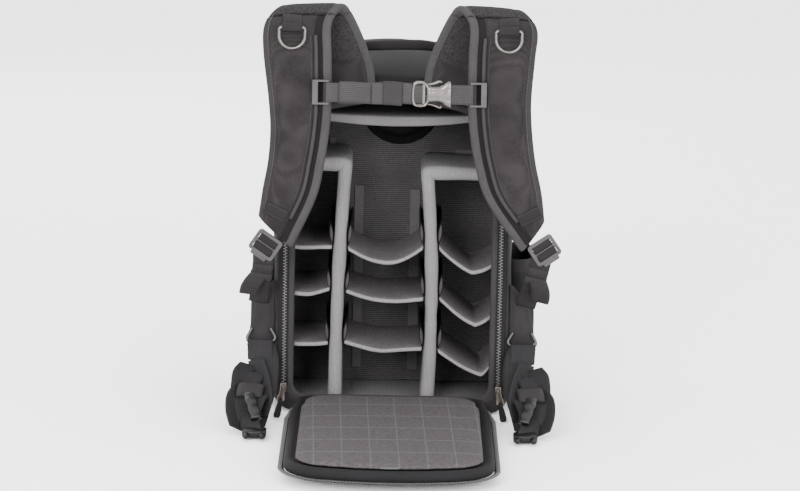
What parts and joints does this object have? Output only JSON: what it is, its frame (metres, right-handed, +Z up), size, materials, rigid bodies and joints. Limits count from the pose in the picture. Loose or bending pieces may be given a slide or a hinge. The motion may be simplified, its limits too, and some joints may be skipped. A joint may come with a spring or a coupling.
{
  "type": "camera backpack",
  "caption": "Rear-access camera backpack with its zipped back panel folded down, padded dividers, harness and hip belt.",
  "frame": {"origin": "middle of the flat base", "axes": "+Z up, -Y towards the wearer, +X to the right seen from the wearer's side"},
  "size_m": [0.4101, 0.625, 0.5353],
  "materials": {
    "shell_fabric": "black woven nylon",
    "strap_fabric": "charcoal ripstop with binding",
    "lining": "ribbed knit lining",
    "divider_tricot": "light grey brushed tricot",
    "shelf_plaid": "grey heather with a fine check",
    "webbing": "woven nylon webbing",
    "stretch_fabric": "stretch woven pocket fabric",
    "air_mesh": "3-D spacer mesh",
    "zip_coil": "woven zip tape with a plastic coil",
    "gunmetal": "polished dark nickel",
    "nickel": "polished nickel",
    "belt_plastic": "black acetal buckle"
  },
  "bodies": {
    "pack": {"side_wall_left": "shell_fabric", "side_wall_right": "shell_fabric", "base_wall": "shell_fabric", "top_wall": "shell_fabric", "front_wall": "shell_fabric", "opening_rim": "shell_fabric", "front_pocket": "shell_fabric", "side_wings": "shell_fabric", "device_sleeve": "lining", "ceiling_pad": "divider_tricot", "divider_left": "divider_tricot", "divider_right": "divider_tricot", "shelf_left_1": "shelf_plaid", "shelf_left_2": "shelf_plaid", "shelf_left_3": "shelf_plaid", "shelf_middle_1": "shelf_plaid", "shelf_middle_2": "shelf_plaid", "shelf_middle_3": "shelf_plaid", "shelf_right_1": "shelf_plaid", "shelf_right_2": "shelf_plaid", "shelf_right_3": "shelf_plaid", "body_zip": "zip_coil", "belt_rings": "gunmetal", "side_pocket_left": "stretch_fabric", "webbing_tail_left": "webbing", "load_webbing_left": "webbing", "side_pocket_right": "stretch_fabric", "webbing_tail_right": "webbing", "load_webbing_right": "webbing"},
    "back_panel": {"panel_pad": "shell_fabric", "panel_liner": "shelf_plaid", "panel_zip": "zip_coil", "back_pads": "air_mesh"},
    "harness": {"shoulder_strap_left": "strap_fabric", "shoulder_strap_right": "strap_fabric", "slider_rail_left": "webbing", "slider_rail_right": "webbing", "chest_band_left": "webbing", "chest_band_right": "webbing", "strap_lock_left": "gunmetal", "strap_lock_right": "gunmetal"},
    "handle": {"grab_handle": "shell_fabric"},
    "sternum_carrier_left": {"sternum_slider_left": "gunmetal"},
    "sternum_carrier_right": {"sternum_slider_right": "gunmetal"},
    "sternum_half_left": {"sternum_webbing_left": "webbing", "buckle_plug": "gunmetal"},
    "sternum_half_right": {"sternum_webbing_right": "webbing", "buckle_socket": "gunmetal"},
    "prong_upper": {"buckle_prong_upper": "gunmetal"},
    "prong_lower": {"buckle_prong_lower": "gunmetal"},
    "ring_left": {"d_ring_left": "nickel"},
    "slider_left": {"zip_slider_left": "gunmetal"},
    "pull_left": {"zip_pull_left": "gunmetal"},
    "belt_left": {"belt_webbing_left": "webbing", "belt_buckle_left": "belt_plastic"},
    "ring_right": {"d_ring_right": "nickel"},
    "slider_right": {"zip_slider_right": "gunmetal"},
    "pull_right": {"zip_pull_right": "gunmetal"},
    "belt_right": {"belt_webbing_right": "webbing", "belt_buckle_right": "belt_plastic"}
  },
  "joints": [
    {"name": "back_panel_hinge", "type": "hinge", "parent": "pack", "child": "back_panel", "pos_m": [0, -0.104, 0.018], "axis": [-1, 0, 0], "range_deg": [0, 90], "deforming": ["shoulder_strap_left", "shoulder_strap_right", "slider_rail_left", "slider_rail_right"]},
    {"name": "harness_swing", "type": "hinge", "parent": "pack", "child": "harness", "pos_m": [0.004, -0.105, 0.425], "axis": [-1, 0, 0], "range_deg": [0, 8], "deforming": ["load_webbing_left", "load_webbing_right", "webbing_tail_left", "webbing_tail_right"]},
    {"name": "handle_tilt", "type": "hinge", "parent": "pack", "child": "handle", "pos_m": [0.004, -0.058, 0.448], "axis": [1, 0, 0], "range_deg": [-15, 35], "stiffness_Nm_per_rad": 0.08},
    {"name": "sternum_height", "type": "slide", "parent": "harness", "child": "sternum_carrier_left", "axis": [0, 0, 1], "range_m": [-0.02, 0.03]},
    {"name": "sternum_height_right", "type": "slide", "parent": "harness", "child": "sternum_carrier_right", "axis": [0, 0, 1], "range_m": [-0.02, 0.03]},
    {"name": "sternum_open_left", "type": "hinge", "parent": "sternum_carrier_left", "child": "sternum_half_left", "pos_m": [-0.0857, -0.172, 0.428], "axis": [0, 0, -1], "range_deg": [0, 75]},
    {"name": "sternum_open_right", "type": "hinge", "parent": "sternum_carrier_right", "child": "sternum_half_right", "pos_m": [0.0937, -0.172, 0.428], "axis": [0, 0, 1], "range_deg": [0, 75]},
    {"name": "prong_upper_press", "type": "slide", "parent": "sternum_half_left", "child": "prong_upper", "axis": [0, 0, -1], "range_m": [0, 0.0014], "stiffness_N_per_m": 20},
    {"name": "prong_lower_press", "type": "slide", "parent": "sternum_half_left", "child": "prong_lower", "axis": [0, 0, 1], "range_m": [0, 0.0014], "stiffness_N_per_m": 20},
    {"name": "d_ring_left_swing", "type": "hinge", "parent": "harness", "child": "ring_left", "pos_m": [-0.1305, -0.171, 0.508], "axis": [-1, 0, 0], "range_deg": [0, 120]},
    {"name": "zip_left_travel", "type": "slide", "parent": "pack", "child": "slider_left", "axis": [0, 0, 1], "range_m": [0, 0.285]},
    {"name": "zip_pull_left_flip", "type": "hinge", "parent": "slider_left", "child": "pull_left", "pos_m": [-0.1375, -0.10375, 0.033], "axis": [-1, 0, 0], "range_deg": [0, 105]},
    {"name": "belt_left_swing", "type": "hinge", "parent": "pack", "child": "belt_left", "pos_m": [-0.167, -0.1, 0.094], "axis": [-1, 0, 0], "range_deg": [0, 45]},
    {"name": "d_ring_right_swing", "type": "hinge", "parent": "harness", "child": "ring_right", "pos_m": [0.1385, -0.171, 0.508], "axis": [-1, 0, 0], "range_deg": [0, 120]},
    {"name": "zip_right_travel", "type": "slide", "parent": "pack", "child": "slider_right", "axis": [0, 0, 1], "range_m": [0, 0.285]},
    {"name": "zip_pull_right_flip", "type": "hinge", "parent": "slider_right", "child": "pull_right", "pos_m": [0.1375, -0.10375, 0.033], "axis": [-1, 0, 0], "range_deg": [0, 105]},
    {"name": "belt_right_swing", "type": "hinge", "parent": "pack", "child": "belt_right", "pos_m": [0.167, -0.1, 0.094], "axis": [-1, 0, 0], "range_deg": [0, 45]}
  ],
  "couplings": [
    {"joint": "sternum_height_right", "follows": "sternum_height", "ratio": 1},
    {"joint": "prong_lower_press", "follows": "prong_upper_press", "ratio": 1}
  ]
}
